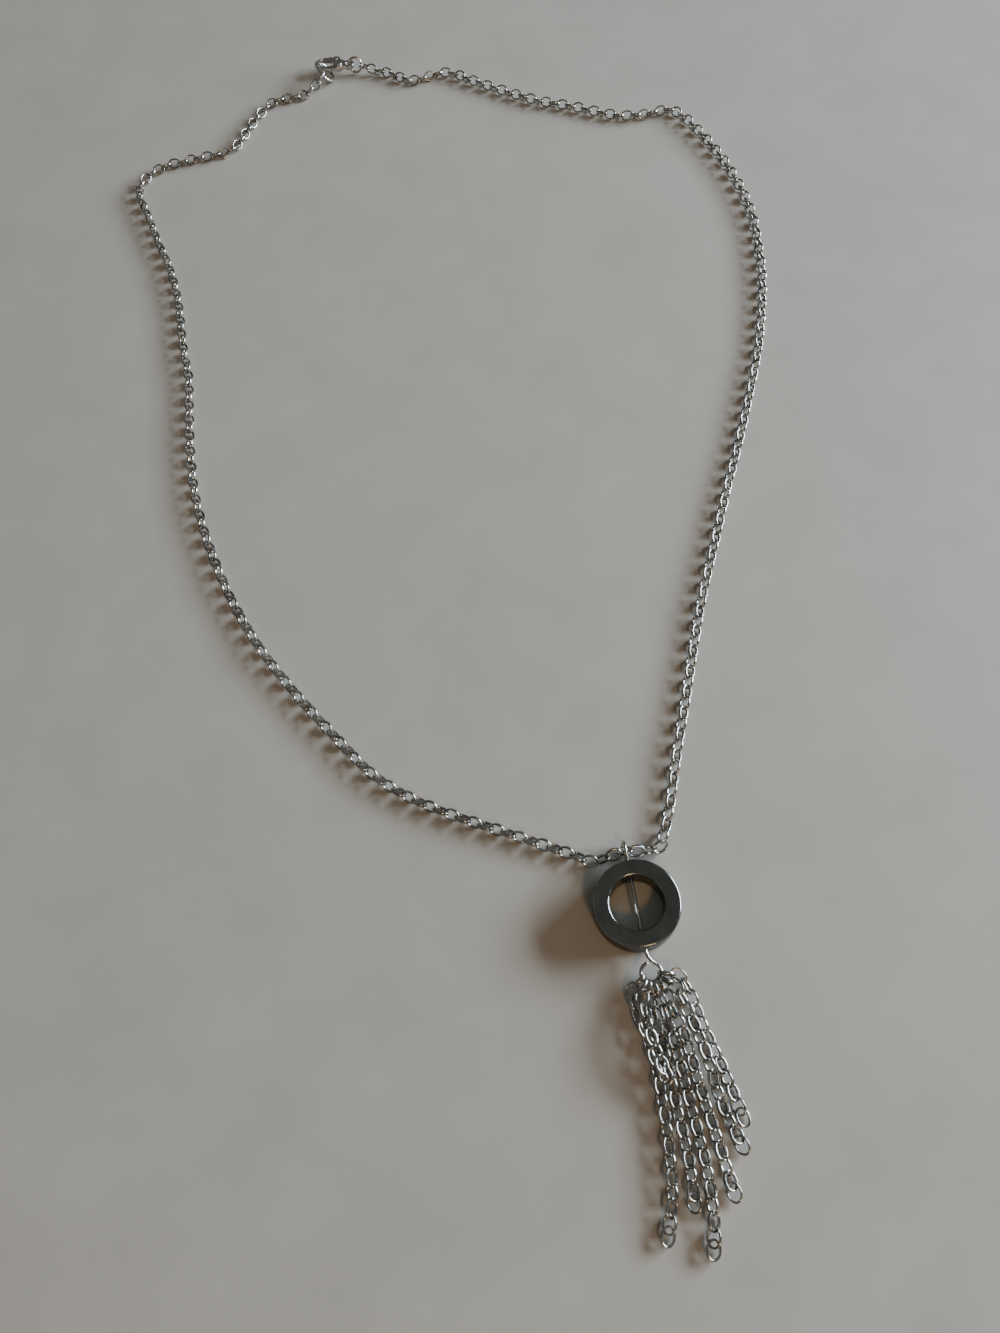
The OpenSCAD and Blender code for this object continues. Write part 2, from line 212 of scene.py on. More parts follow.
# Routes of the long stretches, from the clasp down to the bead
LEFT = [
    (-25.7, 126.3, 1.5), (-27.5, 125.6, 1.1), (-31.5, 125.5, 1), (-35.5, 124.8, 1),
    (-38.5, 122, 1), (-41, 118.5, 1), (-43, 115, 1), (-45, 111.5, 1),
    (-47.5, 109.5, 1), (-51, 109, 1), (-55, 109, 1), (-59, 108.5, 1),
    (-63, 108, 1), (-66.5, 106, 1), (-69, 103, 1), (-69.5, 99, 1),
    (-68, 94, 1), (-66.5, 88.5, 1), (-65, 82.5, 1), (-63, 76, 1),
    (-61.5, 69.5, 1), (-60.5, 62.5, 1), (-60, 55.5, 1), (-59.5, 48.5, 1),
    (-58.5, 40.5, 1), (-58.5, 31.5, 1), (-58.5, 22.5, 1), (-58, 12.5, 1),
    (-56.5, 2.5, 1), (-54, -7.5, 1), (-50.5, -18, 1), (-46, -28, 1),
    (-40.5, -37.5, 1), (-34.5, -46.5, 1), (-28, -55.5, 1), (-22, -61, 1),
    (-15, -65.5, 1), (-7.5, -69.5, 1), (0, -73.5, 1), (3.5, -75.4, 1)]
RIGHT = [
    (-10, 131, 1.5), (-8.2, 130.3, 1.1), (-5.5, 128.7, 1), (-3, 126.5, 1),
    (0, 124.5, 1), (4, 125, 1), (8, 125.5, 1), (11, 124, 1),
    (15, 120.5, 1), (20, 116.5, 1), (25, 112.5, 1), (30, 109, 1),
    (36, 106, 1), (41, 103, 1), (46, 100, 1), (51, 98.5, 1),
    (55, 98.5, 1), (59.5, 98.5, 1), (62, 95.5, 1), (64.5, 89.5, 1),
    (67, 81.5, 1), (68.5, 74.5, 1), (69.5, 66.5, 1), (69.5, 58.5, 1),
    (68.5, 50.5, 1), (67, 41.5, 1), (64, 31, 1), (60.5, 21, 1),
    (56, 10.5, 1), (51.5, 0.5, 1), (46.5, -10, 1), (41.5, -21, 1),
    (36.5, -32, 1), (32.5, -42, 1), (28.5, -52.5, 1), (25, -61.5, 1),
    (22.5, -68.5, 1), (20.6, -73.2, 1)]
# Routes of the front stretch, from the eye outwards
FRONT_LEFT = [tuple(EYE_AT), (10.8, -77.1, 1.85), (8.7, -77.45, 1.4),
              (6.6, -77.25, 1.05), (4.5, -76.2, 1), (2.5, -74.8, 1)]
FRONT_RIGHT = [tuple(EYE_AT), (14.9, -77.15, 1.85), (18.6, -77, 1.25),
               (21.6, -74.8, 1)]

# Strands, as [where the first link hangs on the hook, where it heads, both from
# straight down to the right, its rise, and the route after it]
STRANDS = [
    [84, 74, -6, [(17, -97.5, 1.8), (18.2, -99.5, 1.2), (18.7, -102.5, 1),
        (19.4, -106.2, 1), (20.4, -110.2, 1), (21.2, -114, 1), (22.2, -119.5, 0.8)]],
    [57, 52, 14, [(16.1, -98.9, 2.8), (16.8, -101.1, 3.1), (17.4, -103.8, 3.1),
        (18.1, -107, 3), (18.7, -110.5, 2.7), (19.1, -114.2, 1.7),
        (19.6, -117.5, 1.1), (21.3, -123.2, 0.8)]],
    [31, 28, -13, [(14.6, -99.9, 1.4), (15.2, -102.5, 1.1), (16.1, -106, 1),
        (16.5, -110.4, 1), (16.9, -115, 1), (17.8, -122.5, 1), (18.5, -129.1, 0.8)]],
    [6, 4, 8, [(13.4, -100.6, 2.2), (13.7, -103, 1.8), (14.3, -106.5, 1.2),
        (14.6, -111, 1), (14.8, -116, 1), (15.2, -124.5, 1),
        (14.7, -131, 1), (13.3, -136.4, 0.8)]],
    [-20, -16, -14, [(12, -100.4, 1.3), (12.1, -102.8, 1), (12.5, -106.5, 1),
        (12.7, -111, 1), (12.7, -116, 1), (12.9, -123, 1), (12.4, -129.5, 0.8)]],
    [-75, -56, -15, [(9.5, -98.7, 1.1), (9.4, -100.7, 1), (9.9, -102.8, 1),
        (10.5, -106, 1), (10.9, -110, 1), (10.8, -114, 1), (10.5, -120, 1),
        (9.6, -127, 1), (7.5, -133, 0.8)]],
    [-46, -36, 13, [(10.8, -99.8, 2.8), (10.5, -101.8, 3.2), (10.6, -104, 3.4),
        (11, -106.5, 3.4), (11.5, -109, 3.2), (12, -112.2, 3)]],
]
# Leans of the first links, from the hook on, and of the last, from the end on
FIRST_LEANS = [90, 78, 62, 50]
END_LEANS = [15, 28]

# Soft lights, as [name, azimuth from +X, elevation, distance, size, power,
# colour], in degrees and metres, and the even light of the room
LIGHTS = [
    ["window", 10, 19, 1.3, (0.9, 0.36), 46, (0.74, 0.87, 1.0)],
    ["lamp", -76, 46, 1.1, (0.14, 0.14), 2.2, (1.0, 0.66, 0.34)],
]
WORLD_COLOUR = (1.0, 0.97, 0.92)
WORLD_STRENGTH = 0.13
# Half of the floor's width, in metres
FLOOR_HALF = 3

# Most values of a noise lie between these
NOISE_LOW = 0.3
NOISE_HIGH = 0.7
# Depth of the wear, in metres
WEAR_DEPTH = 0.00003

UP = Vector((0, 0, 1))


# Routes and directions

def smooth(points):
    """A smooth curve through the points of a route."""
    p = [Vector(q) for q in points]
    p = [2*p[0] - p[1]] + p + [2*p[-1] - p[-2]]
    out = []
    for a, b, c, d in zip(p, p[1:], p[2:], p[3:]):
        for k in range(ROUTE_STEPS):
            t = k/ROUTE_STEPS
            out.append((2*b + (c - a)*t + (2*a - 5*b + 4*c - d)*t*t
                        + (3*b - a - 3*c + d)*t**3)/2)
    return out + [p[-2]]


def running(points):
    """The running length at each point."""
    run = [0.0]
    for a, b in zip(points, points[1:]):
        run.append(run[-1] + (b - a).length)
    return run


def at_length(points, run, s):
    """The place at a distance along a route."""
    s = min(max(s, 0), run[-1])
    for a, b, u, v in zip(points, points[1:], run, run[1:]):
        if s <= v:
            return a.lerp(b, (s - u)/(v - u)) if v > u else a.copy()
    return points[-1].copy()


def heading(points, run, s):
    """The direction of a route at a distance along it."""
    back = min(max(s - HEADING_REACH, 0), run[-1] - 2*HEADING_REACH)
    ahead = at_length(points, run, s + HEADING_REACH)
    return (ahead - at_length(points, run, back)).normalized()


def leaned(along, lean):
    """The direction square to another one that leans by an angle from level."""
    side = along.cross(UP).normalized()
    lean = math.radians(lean)
    return side*math.cos(lean) + side.cross(along.normalized())*math.sin(lean)


def bearing(angle, rise):
    """A direction in plan, from straight down the page towards the right."""
    angle, rise = math.radians(angle), math.radians(rise)
    return Vector((math.sin(angle)*math.cos(rise), -math.cos(angle)*math.cos(rise),
                   math.sin(rise)))


def placed(at, along, lean):
    """A rigid frame: X along, Y leaned, at a place."""
    x = along.normalized()
    y = leaned(along, lean)
    z = x.cross(y)
    return Matrix.Translation(at) @ Matrix((x, y, z)).transposed().to_4x4()


def turn(a, b, steps):
    """Angles in radians, from a to b in degrees."""
    return [math.radians(a + (b - a)*k/steps) for k in range(steps + 1)]


# Objects and meshes

def add_object(name, data):
    """A new object in the scene."""
    made = bpy.data.objects.new(name, data)
    bpy.context.scene.collection.objects.link(made)
    return made


def data_from(name, mesh):
    """The data for an object, from a mesh that isn't needed after that."""
    data = bpy.data.meshes.new(name)
    mesh.to_mesh(data)
    mesh.free()
    return data


def add_rings(mesh, rings, closed):
    """Joins rings of points with quads; an open run gets flat ends."""
    made = [[mesh.verts.new(p) for p in ring] for ring in rings]
    n = len(made[0])
    pairs = list(zip(made, made[1:] + made[:1]))
    for a, b in pairs if closed else pairs[:-1]:
        for j in range(n):
            mesh.faces.new((a[j], a[(j + 1) % n], b[(j + 1) % n], b[j]))
    if not closed:
        mesh.faces.new(made[0][::-1])
        mesh.faces.new(made[-1])


def piece_from(name, mesh, material, body="necklace"):
    """A smooth-shaded piece of the necklace, from a mesh in millimetres."""
    bmesh.ops.scale(mesh, vec=(MM, MM, MM), verts=mesh.verts)
    bmesh.ops.recalc_face_normals(mesh, faces=mesh.faces)
    for face in mesh.faces:
        face.smooth = True
    piece = add_object(name, data_from(name, mesh))
    piece.data.materials.append(material)
    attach(piece, body)
    return piece


def wire_section(thick, broad):
    """The flattened wire's section, as [in the link's plane, across it]: two
    nearly flat broad faces between rounded edges."""
    u, v = thick/2, broad/2
    quarter = [(u, 0), (u*FACE_KEPT, v*FACE_SHARE), (u*EDGE_SHARE, v*EDGE_KEPT)]
    half = quarter + [(0, v)] + [(-x, y) for x, y in quarter[:0:-1]]
    return half + [(-x, -y) for x, y in half]


SECTION = wire_section(LINK_THICK, LINK_BROAD)


def add_link(mesh, at, along, lean):
    """An oval link of flattened wire, with its middle at a place."""
    place = placed(at, along, lean)
    a, b = (LINK_LONG - LINK_THICK)/2, (LINK_WIDE - LINK_THICK)/2
    rings = []
    for i in range(LINK_STEPS):
        t = 2*math.pi*i/LINK_STEPS
        middle = Vector((a*math.cos(t), b*math.sin(t), 0))
        out = Vector((b*math.cos(t), a*math.sin(t), 0)).normalized()
        rings.append([place @ (middle + out*u + Vector((0, 0, v)))
                      for u, v in SECTION])
    add_rings(mesh, rings, closed=True)


def add_tube(mesh, path, radius, sides, across):
    """A round wire along a path, with rounded ends. Its first point lies towards a
    direction across the path's start."""
    rings = []
    last = len(path) - 1
    for i, p in enumerate(path):
        t = (path[min(i + 1, last)] - path[max(i - 1, 0)]).normalized()
        across = (across - across.dot(t)*t).normalized()
        other = t.cross(across)
        steps = [(0, 1)]
        if i == 0:
            steps = [(-out, wide) for out, wide in WIRE_END] + steps
        elif i == last:
            steps += WIRE_END[::-1]
        for out, wide in steps:
            rings.append([p + t*out*radius + radius*wide*(
                across*math.cos(2*math.pi*k/sides) + other*math.sin(2*math.pi*k/sides))
                for k in range(sides)])
    add_rings(mesh, rings, closed=False)


# Materials

def new_material(name):
    """A material with its nodes, its shader and the place on the object."""
    material = bpy.data.materials.new(name)
    material.use_nodes = True
    tree = material.node_tree
    place = tree.nodes.new("ShaderNodeTexCoord").outputs["Object"]
    return material, tree, tree.nodes["Principled BSDF"], place


def add_node(tree, kind, source, target, **values):
    """A node with a source on one of its inputs and values on others, in whose
    names an underscore stands for a space."""
    node = tree.nodes.new(kind)
    for name, value in values.items():
        node.inputs[name.replace("_", " ")].default_value = value
    tree.links.new(source, node.inputs[target])
    return node


def noise(tree, place, scale, detail, roughness=0.55):
    """Noise over a place, at a scale per metre."""
    return add_node(tree, "ShaderNodeTexNoise", place, "Vector", Scale=scale,
                    Detail=detail, Roughness=roughness).outputs["Fac"]


def ramp(tree, value, stops):
    """A colour ramp through stops of [position, colour]."""
    node = add_node(tree, "ShaderNodeValToRGB", value, "Fac")
    elements = node.color_ramp.elements
    while len(elements) < len(stops):
        elements.new(0.5)
    for element, (position, colour) in zip(elements, stops):
        element.position = position
        element.color = (*colour, 1)
    return node.outputs["Color"]


def remapped(tree, value, low, high):
    """A noise's value, remapped from low to high."""
    return add_node(tree, "ShaderNodeMapRange", value, "Value", From_Min=NOISE_LOW,
                    From_Max=NOISE_HIGH, To_Min=low, To_Max=high).outputs["Result"]


def metallic_material(name, tint_noise, tints, gloss_noise, rough, wear_noise, wear):
    """A metallic surface whose tint and gloss vary, with fine wear. A noise is
    given as [scale, detail] or [scale, detail, roughness]."""
    material, tree, shader, place = new_material(name)
    shader.inputs["Metallic"].default_value = 1.0
    tint = ramp(tree, noise(tree, place, *tint_noise), tints)
    tree.links.new(tint, shader.inputs["Base Color"])
    gloss = remapped(tree, noise(tree, place, *gloss_noise), *rough)
    tree.links.new(gloss, shader.inputs["Roughness"])
    bump = add_node(tree, "ShaderNodeBump", noise(tree, place, *wear_noise), "Height",
                    Strength=wear, Distance=WEAR_DEPTH)
    tree.links.new(bump.outputs["Normal"], shader.inputs["Normal"])
    return material


def plated_material(name, light, dark, rough, wear):
    """Plated wire, whose tint and gloss vary from link to link."""
    return metallic_material(
        name, tint_noise=(420, 2), tints=[(0.36, dark), (0.6, light)],
        gloss_noise=(1600, 4), rough=rough, wear_noise=(5200, 4, 0.6), wear=wear)


def stone_material():
    """A polished dark mineral with a metallic sheen and faint veins."""
    material = metallic_material(
        "dark_mineral", tint_noise=(300, 6, 0.65),
        tints=[(0.35, (0.22, 0.235, 0.22)), (0.55, (0.27, 0.285, 0.265)),
               (0.75, (0.33, 0.34, 0.32))],
        gloss_noise=(900, 5), rough=(0.12, 0.24), wear_noise=(2600, 5, 0.6), wear=0.1)
    shader = material.node_tree.nodes["Principled BSDF"]
    shader.inputs["Specular Tint"].default_value = (0.5, 0.5, 0.5, 1)
    return material


def floor_material():
    """A plain pale surface with a barely visible unevenness."""
    material, tree, shader, place = new_material("pale_floor")
    tint = ramp(tree, noise(tree, place, scale=60, detail=5),
                [(0.3, (0.42, 0.388, 0.338)), (0.7, (0.46, 0.426, 0.373))])
    tree.links.new(tint, shader.inputs["Base Color"])
    shader.inputs["Roughness"].default_value = 0.55
    return material


SILVER = plated_material("silver_tone_wire", light=(0.52, 0.51, 0.48),
                         dark=(0.29, 0.28, 0.255), rough=(0.13, 0.24), wear=0.2)
CLASP_METAL = plated_material("silver_tone_clasp", light=(0.64, 0.62, 0.58),
                              dark=(0.46, 0.44, 0.4), rough=(0.14, 0.28), wear=0.35)
PIN_METAL = plated_material("silver_tone_pin", light=(0.68, 0.66, 0.6),
                            dark=(0.5, 0.48, 0.43), rough=(0.12, 0.24), wear=0.25)
STONE = stone_material()


# Chain and tassel

def front_places():
    """Places of the links beside the eye, outwards, by side."""
    out = {}
    for name, route, lean in (("left", FRONT_LEFT, 180 - LINK_LEAN),
                              ("right", FRONT_RIGHT, LINK_LEAN)):
        path = smooth(route)
        run = running(path)
        out[name] = []
        for k in range(1, FRONT_SIDE_LINKS + 1):
            s = k*LINK_PITCH - FIRST_STEP_CUT
            out[name].append((at_length(path, run, s), heading(path, run, s),
                              lean + 90*k))
    return out


def make_front(places):
    """The links at the pin's eye, one of them through it."""
    mesh = bmesh.new()
    for side in places.values():
        for link in side:
            add_link(mesh, *link)
    add_link(mesh, EYE_AT, Vector((1, 0, 0)), LINK_LEAN)
    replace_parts(piece_from("front_chain", mesh, SILVER), "chain_front")


def make_side(name, node, start, route, end, odd, first_lean, seed):
    """A long stretch of chain, from an end link to the last front link. The number
    of its steps is odd or even, so that the links at its ends fit their
    neighbours."""
    path = smooth([tuple(start)] + route[1:] + [tuple(end)])
    run = running(path)
    count = round(run[-1]/LINK_PITCH)
    if count % 2 != odd:
        count += 1 if run[-1]/LINK_PITCH > count else -1
    pitch = run[-1]/count
    draw = random.Random(seed)
    mesh = bmesh.new()
    for i in range(1, count):
        at = at_length(path, run, i*pitch)
        calm = min(1, (i - 1)/CALM_LINKS, (count - 1 - i)/CALM_LINKS)
        lean = (LINK_LEAN + 90*(i % 2)
                + (first_lean - LINK_LEAN)*max(0, 1 - i/CALM_LINKS)
                + calm*draw.uniform(-LEAN_STRAY, LEAN_STRAY))
        stray = math.radians(calm*draw.uniform(-TURN_STRAY, TURN_STRAY))
        along = Matrix.Rotation(stray, 3, "Z") @ heading(path, run, i*pitch)
        if calm >= 1:
            at.z = rest_height(lean)
        add_link(mesh, at, along, lean)
    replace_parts(piece_from(name, mesh, SILVER), node)


def rest_height(lean):
    """How high a link's middle lies when the link rests on the table."""
    lean = math.radians(lean)
    return LINK_WIDE/2*abs(math.sin(lean)) + LINK_BROAD/2*abs(math.cos(lean))


def make_end_link(node, at, along, lean):
    """The link between a long stretch and the ring beside it."""
    mesh = bmesh.new()
    add_link(mesh, at, along, lean)
    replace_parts(piece_from(node + "_wire", mesh, SILVER), node)


def strand_lean(k, count):
    """The lean of a strand's link, by its number."""
    after = count - 1 - k
    if after < len(END_LEANS):
        return END_LEANS[after] if k % 2 == 0 else 180 - END_LEANS[after]
    return (FIRST_LEANS[k] if k < len(FIRST_LEANS) else STRAND_LEAN) + 90*(k % 2)


def hang(off):
    """How far the end of a link that hangs on the hook lies behind the hook's wire,
    along the link, when the link heads off by an angle from square."""
    off = math.radians(off)
    room = HOOK_R - PIN_WIRE/2 - SOLID_WIRE/2 - HANG_GAP
    return HOOK_R*math.cos(off) - math.sqrt(room**2 - (HOOK_R*math.sin(off))**2)


def make_strand(number, angle, aim, rise, route):
    """A strand of the tassel, from the hook to its loose end."""
    d = bearing(aim, rise)
    reach = (LINK_LONG - SOLID_WIRE)/2 - hang(angle - aim)
    start = HOOK_AT + HOOK_R*bearing(angle, 0) + reach*d
    path = smooth([tuple(start)] + route)
    run = running(path)
    length = run[-1] + SHORT_STEPS*FIRST_STEP_CUT
    count = math.floor(length/LINK_PITCH + COUNT_SLACK) + 1
    mesh = bmesh.new()
    add_link(mesh, start, d, strand_lean(0, count))
    for k in range(1, count):
        s = k*LINK_PITCH - FIRST_STEP_CUT*min(k, SHORT_STEPS)
        if k == count - 1:
            s -= END_STEP_CUT
        add_link(mesh, at_length(path, run, s), heading(path, run, s),
                 strand_lean(k, count))
    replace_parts(piece_from(f"strand_{number}_links", mesh, SILVER),
                f"strand_{number}")


# Bead and pin

def bead_profile():
    """The bead's section with its rounded edges, as [radius, height]."""
    wall = (BEAD_D - BEAD_HOLE_D)/2
    profile = []
    for x, z, start in ((wall - BEAD_EDGE, BEAD_H - BEAD_EDGE, 0),
                        (BEAD_EDGE, BEAD_H - BEAD_EDGE, 90),
                        (BEAD_EDGE, BEAD_EDGE, 180),
                        (wall - BEAD_EDGE, BEAD_EDGE, 270)):
        for k in range(-1, BEAD_EDGE_STEPS + 2):
            a = math.radians(start + 90*min(max(k, 0), BEAD_EDGE_STEPS)/BEAD_EDGE_STEPS)
            flat = FLAT_BAND*(-1 if k < 0 else 1 if k > BEAD_EDGE_STEPS else 0)
            profile.append((BEAD_HOLE_D/2 + x + BEAD_EDGE*math.cos(a) - flat*math.sin(a),
                            z + BEAD_EDGE*math.sin(a) + flat*math.cos(a)))
    return profile


def cut(piece, cutter, sharp):
    """Cuts a piece, removes the cutter, and shades edges beyond an angle sharp."""
    modifier = piece.modifiers.new("cut", "BOOLEAN")
    modifier.operation = "DIFFERENCE"
    modifier.solver = "EXACT"
    modifier.object = cutter
    bpy.context.view_layer.update()
    shaped = piece.evaluated_get(bpy.context.evaluated_depsgraph_get())
    data = bpy.data.meshes.new_from_object(shaped)
    piece.modifiers.clear()
    piece.data = data
    bpy.data.objects.remove(cutter)
    data.set_sharp_from_angle(angle=sharp)


def make_bead():
    """The stone ring, pierced from edge to edge."""
    profile = bead_profile()
    mesh = bmesh.new()
    add_rings(mesh, [[BEAD_AT + Vector((r*math.cos(t), r*math.sin(t), z))
                      for r, z in profile]
                     for t in (2*math.pi*i/BEAD_STEPS for i in range(BEAD_STEPS))],
              closed=True)
    bead = piece_from("stone_ring", mesh, STONE)
    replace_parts(bead, "ring_bead")
    mesh = bmesh.new()
    bmesh.ops.create_cone(mesh, cap_ends=True, segments=BORE_STEPS,
                          radius1=BORE_D/2*MM, radius2=BORE_D/2*MM, depth=2*BEAD_D*MM,
                          matrix=Matrix.Translation((BEAD_AT + BEAD_H/2*UP)*MM)
                          @ Matrix.Rotation(math.pi/2, 4, "X"))
    cut(bead, add_object("bore", data_from("bore", mesh)), BEAD_SHARP)


def make_pin():
    """The pin's wire, from the eye through the bead to the end of the hook."""
    path = [EYE_AT + EYE_R*Vector((0, math.cos(a), math.sin(a)))
            for a in turn(*EYE_SWEEP, PIN_STEPS)]
    path += [EYE_AT + Vector((0, y, z + SHAFT_RISE)) for y, z in EYE_BEND]
    path += [Vector((x, y, PIN_Z + z*SHAFT_RISE)) for x, y, z in HOOK_BEND]
    path += [HOOK_AT + HOOK_R*Vector((math.sin(a), math.cos(a), 0))
             for a in turn(*HOOK_SWEEP, PIN_STEPS)]
    mesh = bmesh.new()
    add_tube(mesh, path, PIN_WIRE/2, PIN_SIDES, Vector((1, 0, 0)))
    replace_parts(piece_from("pin_wire", mesh, PIN_METAL), "eye_pin")


# Rings and clasp

def make_ring(node, at, along, lean, outer_d, wire_d):
    """A round ring of wire, with a fine seam."""
    place = placed(at, along, lean)
    radius = (outer_d - wire_d)/2
    path = [place @ (radius*Vector((math.cos(a), math.sin(a), 0)))
            for a in turn(SEAM_ANGLE, 360 - SEAM_ANGLE, RING_STEPS)]
    mesh = bmesh.new()
    add_tube(mesh, path, wire_d/2, RING_SIDES, place.to_3x3() @ UP)
    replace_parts(piece_from(node + "_wire", mesh, CLASP_METAL), node)


def circle_arc(middle, r, angles):
    """Points of a circle at some angles."""
    return [middle + r*Vector((math.cos(t), math.sin(t))) for t in angles]


def circle_points(middle, r, steps=CIRCLE_STEPS):
    """Points all round a circle."""
    return circle_arc(middle, r, (2*math.pi*k/steps for k in range(steps)))


def outline_point(a):
    """A point of the clasp's outline, wide at the hook, narrow at the eye."""
    c, s = math.cos(a), math.sin(a)
    share = OUTLINE_WIDTH - OUTLINE_TAPER*c + OUTLINE_SWELL*s*s
    return Vector((-CLASP_LONG/2 + CLASP_LONG/2*c, CLASP_WIDE/2*s*share))


def window_point(a):
    """A point of the oval window inside the hook."""
    return WINDOW + Vector((WINDOW_A*math.cos(a), WINDOW_B*math.sin(a)))


def in_gate(p, reach):
    """Whether a point is in the stretch that the lever closes."""
    return p.x < RIVET.x and p.y > GATE_FROM and (p - RIVET).length < reach


def with_eye_wall(outline):
    """The outline with the round wall of the clasp's eye at its narrow end."""
    inside = [k for k, p in enumerate(outline) if p.length < EYE_WALL_D/2]
    first, last = outline[inside[0]], outline[inside[-1]]
    angles = turn(math.degrees(math.atan2(first.y, first.x)),
                  math.degrees(math.atan2(last.y, last.x)), EYE_STEPS)
    wall = circle_arc(Vector((0, 0)), EYE_WALL_D/2, angles)
    return outline[:inside[0]] + wall + outline[inside[-1] + 1:]


def body_contour():
    """The arm with its nose and eye, open where the lever closes it."""
    reach = LEVER_TIP_R + TIP_GAP
    outer = [p for p in map(outline_point, turn(*BODY_SWEEP, BODY_STEPS))
             if not in_gate(p, reach)]
    end = [RIVET + Vector((0, ARM_END)), Vector((RIVET.x - ARM_END, GATE_FROM))]
    inner = [p for p in map(window_point, turn(*BODY_WINDOW_SWEEP, BODY_WINDOW_STEPS))
             if p.y <= GATE_FROM or (p - RIVET).length >= reach]
    return with_eye_wall(outer) + end + inner


def lever_contour():
    """The lever between the outline and the window, from beside the rivet to its
    tip."""
    outer = map(outline_point, turn(*LEVER_SWEEP, LEVER_STEPS))
    inner = map(window_point, turn(*LEVER_WINDOW_SWEEP, LEVER_STEPS))
    return [p for p in (*outer, *inner)
            if in_gate(p, LEVER_TIP_R) and (p - RIVET).length > LEVER_START_R]


def hull(points):
    """The convex outline of points in the plane."""
    points = sorted({(round(p.x, 5), round(p.y, 5)) for p in points})
    halves = []
    for run in (points, points[::-1]):
        half = []
        for p in run:
            while len(half) > 1 and ((half[-1][0] - half[-2][0])*(p[1] - half[-2][1])
                                     <= (half[-1][1] - half[-2][1])*(p[0] - half[-2][0])):
                half.pop()
            half.append(p)
        halves += half[:-1]
    return [Vector(p) for p in halves]


def clear_corners(contour, reach):
    """The outline without the points that crowd one of its sharp corners, so
    that the rounded edge runs cleanly round them."""
    sharp = [p for k, p in enumerate(contour)
             if (p - contour[k - 1]).angle(contour[(k + 1) % len(contour)] - p, 0)
             > SHARP_CORNER]
    return [p for p in contour
            if p in sharp or all((p - q).length > reach for q in sharp)]


def add_plate(mesh, contours, low, high, edge=CLASP_ROUND):
    """A flat plate with rounded edges between two heights, from outlines in
    the clasp's plane, the first one outside and the others holes."""
    curve = bpy.data.curves.new("plate", "CURVE")
    curve.dimensions = "2D"
    curve.fill_mode = "BOTH"
    curve.extrude = (high - low)/2 - edge
    curve.bevel_depth = edge
    curve.bevel_resolution = ROUND_STEPS
    curve.offset = -edge
    for contour in contours:
        contour = clear_corners(contour, CORNER_REACH*edge)
        spline = curve.splines.new("POLY")
        spline.points.add(len(contour) - 1)
        for point, p in zip(spline.points, contour):
            point.co = (p.x, p.y, 0, 1)
        spline.use_cyclic_u = True
    flat = add_object("plate", curve)
    bpy.context.view_layer.update()
    data = bpy.data.meshes.new_from_object(
        flat.evaluated_get(bpy.context.evaluated_depsgraph_get()))
    data.transform(Matrix.Translation((0, 0, (low + high)/2)))
    mesh.from_mesh(data)
    bpy.data.objects.remove(flat)
    bpy.data.meshes.remove(data)


def clasp_piece(name, node, mesh, body):
    """A piece of the clasp, turned and moved to its place."""
    bmesh.ops.transform(mesh, verts=mesh.verts,
                        matrix=Matrix.Translation(CLASP_AT)
                        @ Matrix.Rotation(math.radians(CLASP_TURN), 4, "Z"))
    piece = piece_from(name, mesh, CLASP_METAL, body)
    piece.data.set_sharp_from_angle(angle=CLASP_SHARP)
    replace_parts(piece, node)


def make_clasp_body():
    """The arm with its hook and eye, the two cheeks, and the rivet."""
    mesh = bmesh.new()
    add_plate(mesh, [body_contour(), circle_points(Vector((0, 0)), EYE_HOLE_D/2)],
              -ARM_H/2, ARM_H/2)
    cheek = hull(circle_points(RIVET, CHEEK_R) + circle_points(CHEEK_FOOT, CHEEK_FOOT_R))
    add_plate(mesh, [cheek], SLOT_H/2, CHEEK_H/2)
    add_plate(mesh, [cheek], -CHEEK_H/2, -SLOT_H/2)
    add_plate(mesh, [circle_points(RIVET, RIVET_D/2, RIVET_STEPS)],
              -CHEEK_H/2 - RIVET_HEAD, CHEEK_H/2 + RIVET_HEAD, RIVET_ROUND)
    clasp_piece("clasp_hook", "clasp_body", mesh, "necklace")


def make_clasp_lever():
    """The lever, its root between the cheeks, and its thumb."""
    mesh = bmesh.new()
    lever = lever_contour()
    add_plate(mesh, [lever], -ARM_H/2, ARM_H/2)
    root = hull(circle_points(RIVET, LEVER_ROOT_R)
                + [p for p in lever if (p - RIVET).length < LEVER_NECK_R])
    for contour in (root, circle_points(THUMB, THUMB_D/2)):
        add_plate(mesh, [contour], -LEVER_ROOT_H/2, LEVER_ROOT_H/2)
    clasp_piece("clasp_gate", "clasp_lever", mesh, "lever")


# Stage

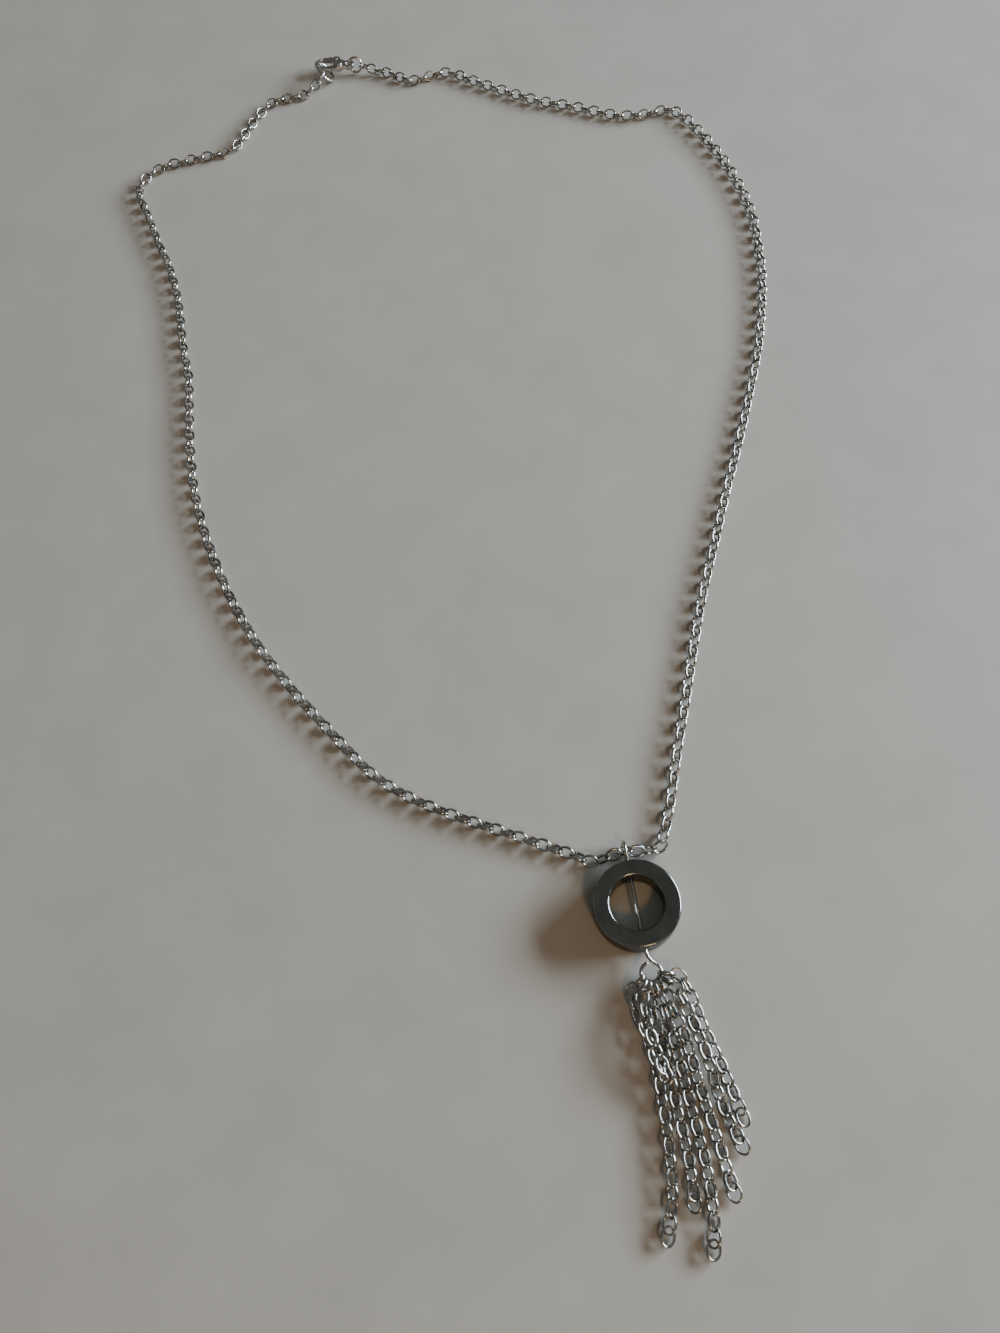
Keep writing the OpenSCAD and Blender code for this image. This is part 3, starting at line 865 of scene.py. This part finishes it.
def make_camera():
    """The photo's camera, above the tassel and looking towards the clasp."""
    data = bpy.data.cameras.new("camera")
    data.lens = CAMERA_LENS
    data.sensor_width = CAMERA_SENSOR
    data.clip_start, data.clip_end = CAMERA_CLIP
    camera = add_object("camera", data)
    tilt, roll = math.radians(CAMERA_TILT), math.radians(CAMERA_ROLL)
    right = Vector((1, 0, 0))
    forward = Vector((0, math.cos(tilt), -math.sin(tilt)))
    down = Vector((0, -math.sin(tilt), -math.cos(tilt)))
    x = math.cos(roll)*right - math.sin(roll)*down
    y = -(math.sin(roll)*right + math.cos(roll)*down)
    camera.matrix_world = (Matrix.Translation(Vector(CAMERA_AT)*MM)
                           @ Matrix((x, y, -forward)).transposed().to_4x4())
    bpy.context.scene.camera = camera


def add_softbox(name, azimuth, elevation, far, size, power, colour):
    """A soft area light that looks at the middle of the necklace."""
    data = bpy.data.lights.new(name, "AREA")
    data.shape = "RECTANGLE"
    data.size, data.size_y = size
    data.energy = power
    data.color = colour
    lamp = add_object(name, data)
    azimuth, elevation = math.radians(azimuth), math.radians(elevation)
    at = far*Vector((math.cos(azimuth)*math.cos(elevation),
                     math.sin(azimuth)*math.cos(elevation), math.sin(elevation)))
    lamp.location = at
    lamp.rotation_euler = (-at).to_track_quat("-Z", "Y").to_euler()


def make_stage():
    """The floor, the soft lights and the even light of the room."""
    mesh = bmesh.new()
    bmesh.ops.create_grid(mesh, x_segments=1, y_segments=1, size=FLOOR_HALF)
    floor = add_object("floor", data_from("floor", mesh))
    floor.data.materials.append(floor_material())
    for row in LIGHTS:
        add_softbox(*row)
    world = bpy.data.worlds.new("studio")
    world.use_nodes = True
    background = world.node_tree.nodes["Background"]
    background.inputs["Color"].default_value = (*WORLD_COLOUR, 1)
    background.inputs["Strength"].default_value = WORLD_STRENGTH
    bpy.context.scene.world = world


make_camera()
make_stage()
FRONT = front_places()
make_front(FRONT)
make_side("left_chain", "chain_left", END_LINK_LEFT_AT, LEFT, FRONT["left"][-1][0],
          odd=1, first_lean=LINK_LEAN, seed=3)
make_side("right_chain", "chain_right", END_LINK_RIGHT_AT, RIGHT, FRONT["right"][-1][0],
          odd=0, first_lean=END_LINK_RIGHT_LEAN, seed=8)
make_end_link("end_link_left", END_LINK_LEFT_AT, Vector(LEFT[0]) - END_RING_AT,
              LINK_LEAN)
make_end_link("end_link_right", END_LINK_RIGHT_AT, Vector(RIGHT[0]) - TAIL_RING_AT,
              END_LINK_RIGHT_LEAN)
for row_number, row in enumerate(STRANDS, 1):
    make_strand(row_number, *row)
make_bead()
make_pin()
for ring_name, ring_row in RINGS.items():
    make_ring(ring_name, *ring_row)
make_clasp_body()
make_clasp_lever()
